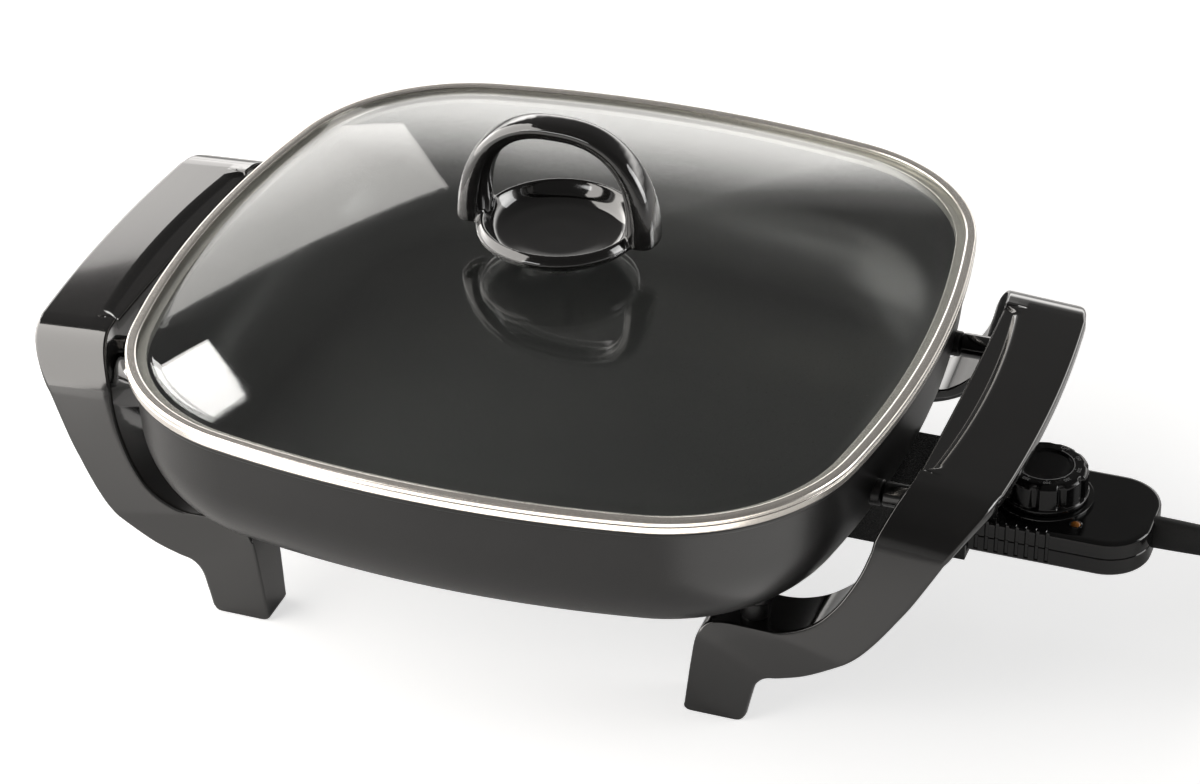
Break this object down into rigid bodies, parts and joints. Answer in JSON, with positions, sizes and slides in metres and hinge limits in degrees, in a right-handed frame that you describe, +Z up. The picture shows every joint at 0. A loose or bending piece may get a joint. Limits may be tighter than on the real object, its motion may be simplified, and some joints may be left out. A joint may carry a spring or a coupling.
{
  "type": "electric skillet",
  "caption": "Square electric skillet with a lift-off glass lid, side handles that are also its feet, and a plug-in temperature probe with a dial and a mains cord.",
  "frame": {"origin": "on the table, under the middle of the skillet with its probe plugged in, the loose cord left out", "axes": "+X from the pan towards the probe, +Y away from the side with the dial's window lamp, +Z up"},
  "size_m": [0.6139, 0.3, 0.1819],
  "materials": {
    "pan": "satin dark non-stick coating",
    "phenolic": "gloss",
    "shroud_plastic": "satin",
    "probe_plastic": "gloss",
    "dial_plastic": "satin",
    "band_steel": "polished",
    "lid_glass": "polished",
    "element_sheath": "satin",
    "sensor_steel": "satin",
    "fastener_steel": "zinc plated",
    "contact_brass": "bright",
    "ceramic": "glazed ceramic",
    "amber_lens": "gloss, translucent",
    "lamp_glass": "polished",
    "wire_sleeve": "matte",
    "cord_rubber": "matte",
    "tie_plastic": "matte"
  },
  "bodies": {
    "base": {"pan": "pan", "heating_element": "element_sheath", "terminal_pins": "contact_brass", "terminal_bushings": "ceramic", "terminal_shroud": "shroud_plastic", "shroud_screws": "fastener_steel", "right_handle": "phenolic", "left_handle": "phenolic", "right_handle_screws": "fastener_steel", "left_handle_screws": "fastener_steel"},
    "lid": {"lid_glass": "lid_glass", "lid_rim": "band_steel", "lid_knob": "phenolic", "knob_washers": "fastener_steel", "knob_screw": "fastener_steel"},
    "probe": {"probe_lower_case": "probe_plastic", "probe_upper_case": "probe_plastic", "sensor_rod": "sensor_steel", "socket_contacts": "contact_brass", "thermostat_frame": "sensor_steel", "contact_arm": "contact_brass", "contact_points": "contact_brass", "indicator_lens": "amber_lens", "neon_lamp": "lamp_glass", "lead_wires": "wire_sleeve", "probe_screws": "fastener_steel", "strain_relief": "cord_rubber", "cord": "cord_rubber", "cord_coil": "cord_rubber", "cord_tail": "cord_rubber", "cord_tie": "tie_plastic", "plug_body": "cord_rubber", "plug_blades": "contact_brass"},
    "dial": {"dial_shaft": "sensor_steel", "dial_knob": "dial_plastic"}
  },
  "joints": [
    {"name": "lid_lift", "type": "slide", "parent": "base", "child": "lid", "axis": [0, 0, 1], "range_m": [0, 0.15]},
    {"name": "probe_pull", "type": "slide", "parent": "base", "child": "probe", "axis": [1, 0, 0], "range_m": [0, 0.13]},
    {"name": "dial_turn", "type": "hinge", "parent": "probe", "child": "dial", "pos_m": [0.15215, 0, 0.06], "axis": [0, 0, 1], "range_deg": [-290, 0]}
  ]
}
